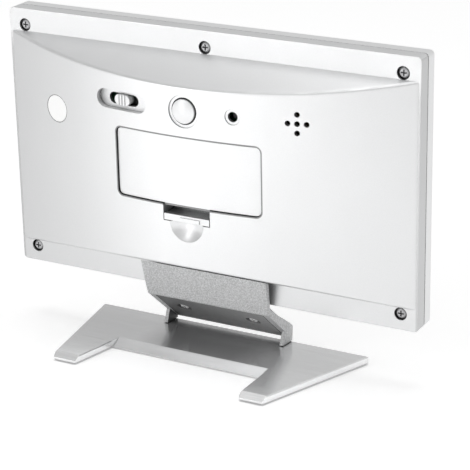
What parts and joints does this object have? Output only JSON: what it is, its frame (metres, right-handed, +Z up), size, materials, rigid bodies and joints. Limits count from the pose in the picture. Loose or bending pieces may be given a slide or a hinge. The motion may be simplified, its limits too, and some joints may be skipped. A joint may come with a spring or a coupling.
{
  "type": "digital alarm clock",
  "caption": "Slim digital alarm clock with a bulged back, battery door, back controls and front set keys, on a short neck and a low two-legged base.",
  "frame": {"origin": "on the floor under the middle of the overall box", "axes": "+Z up, -Y towards the side the display faces, +X to the right as seen from the front"},
  "size_m": [0.165, 0.0568, 0.1216],
  "materials": {
    "silver_paint": "satin silver-white paint on plastic",
    "frame_paint": "satin silver-white paint on plastic",
    "neck_paint": "fine textured silver-grey plastic",
    "base_gloss": "glossy silver plastic",
    "pale_plastic": "satin pale grey plastic",
    "key_plastic": "satin grey plastic",
    "dark_plastic": "moulded black plastic",
    "screw_steel": "zinc-plated steel",
    "spring_steel": "plated spring steel",
    "contact_nickel": "nickel-plated sheet",
    "board_green": "solder-masked circuit board",
    "buzzer_brass": "bare brass disc",
    "clear_window": "clear polished acrylic",
    "panel_glass": "grey-green liquid crystal panel",
    "guide_acrylic": "milky acrylic",
    "strip_rubber": "layered conductive rubber",
    "foot_rubber": "soft black rubber",
    "weight_steel": "plain rolled steel",
    "cell_sleeve": "plain printed-free dark sleeve",
    "sticker_paper": "blank pale film",
    "ribbon_film": "flat white cable",
    "diode_resin": "clear yellowish resin"
  },
  "bodies": {
    "clock": {"rear_shell": "silver_paint", "front_frame": "frame_paint", "case_screw_top_left": "screw_steel", "case_screw_top_middle": "screw_steel", "case_screw_top_right": "screw_steel", "case_screw_bottom_left": "screw_steel", "case_screw_bottom_right": "screw_steel", "display_window": "clear_window", "display_panel": "panel_glass", "connector_strip": "strip_rubber", "light_guide": "guide_acrylic", "light_diode": "diode_resin", "main_board": "board_green", "main_board_screw_left": "screw_steel", "main_board_screw_right": "screw_steel", "main_board_screw_bottom": "screw_steel", "chip": "dark_plastic", "crystal": "spring_steel", "control_board": "board_green", "control_board_screw_left": "screw_steel", "control_board_screw_right": "screw_steel", "board_ribbon": "ribbon_film", "key_switch_mode": "dark_plastic", "key_switch_down": "dark_plastic", "key_switch_up": "dark_plastic", "key_switch_alarm": "dark_plastic", "slide_switch": "contact_nickel", "snooze_switch": "dark_plastic", "reset_switch": "dark_plastic", "buzzer": "buzzer_brass", "sticker": "sticker_paper", "battery_cell_upper": "cell_sleeve", "battery_cell_lower": "cell_sleeve", "spring_plate": "contact_nickel", "button_plate": "contact_nickel", "link_plate": "contact_nickel", "battery_spring_upper": "spring_steel", "battery_spring_lower": "spring_steel", "neck_shell": "neck_paint", "neck_plate": "neck_paint", "neck_screw_left": "screw_steel", "neck_screw_right": "screw_steel", "tongue_screw_left": "screw_steel", "tongue_screw_right": "screw_steel", "base": "base_gloss", "base_weight": "weight_steel", "foot_front_left": "foot_rubber", "foot_front_right": "foot_rubber", "foot_back_left": "foot_rubber", "foot_back_right": "foot_rubber"},
    "snooze_press": {"snooze_button": "pale_plastic", "snooze_plunger": "dark_plastic"},
    "slide_control": {"slide_knob": "pale_plastic", "slide_lever": "dark_plastic"},
    "reset_press": {"reset_plunger": "dark_plastic"},
    "key_mode_press": {"key_mode": "key_plastic"},
    "key_down_press": {"key_down": "key_plastic"},
    "key_up_press": {"key_up": "key_plastic"},
    "key_alarm_press": {"key_alarm": "key_plastic"},
    "battery_door_leaf": {"battery_door": "silver_paint"}
  },
  "joints": [
    {"name": "snooze_button", "type": "slide", "parent": "clock", "child": "snooze_press", "axis": [0, -0.9968, 0.0797], "range_m": [0, 0.0006], "stiffness_N_per_m": 1500, "springref_m": -0.0004},
    {"name": "slide_knob", "type": "slide", "parent": "clock", "child": "slide_control", "axis": [1, 0, 0], "range_m": [-0.002, 0.002]},
    {"name": "reset_plunger", "type": "slide", "parent": "clock", "child": "reset_press", "axis": [0, -0.9968, 0.0797], "range_m": [0, 0.0005], "stiffness_N_per_m": 1500, "springref_m": -0.0004},
    {"name": "key_mode", "type": "slide", "parent": "clock", "child": "key_mode_press", "axis": [0, 0.9968, -0.0797], "range_m": [0, 0.0005], "stiffness_N_per_m": 1500, "springref_m": -0.0004},
    {"name": "key_down", "type": "slide", "parent": "clock", "child": "key_down_press", "axis": [0, 0.9968, -0.0797], "range_m": [0, 0.0005], "stiffness_N_per_m": 1500, "springref_m": -0.0004},
    {"name": "key_up", "type": "slide", "parent": "clock", "child": "key_up_press", "axis": [0, 0.9968, -0.0797], "range_m": [0, 0.0005], "stiffness_N_per_m": 1500, "springref_m": -0.0004},
    {"name": "key_alarm", "type": "slide", "parent": "clock", "child": "key_alarm_press", "axis": [0, 0.9968, -0.0797], "range_m": [0, 0.0005], "stiffness_N_per_m": 1500, "springref_m": -0.0004},
    {"name": "battery_door", "type": "hinge", "parent": "clock", "child": "battery_door_leaf", "pos_m": [0, 0.01, 0.08493], "axis": [1, 0, 0], "range_deg": [0, 75]}
  ]
}
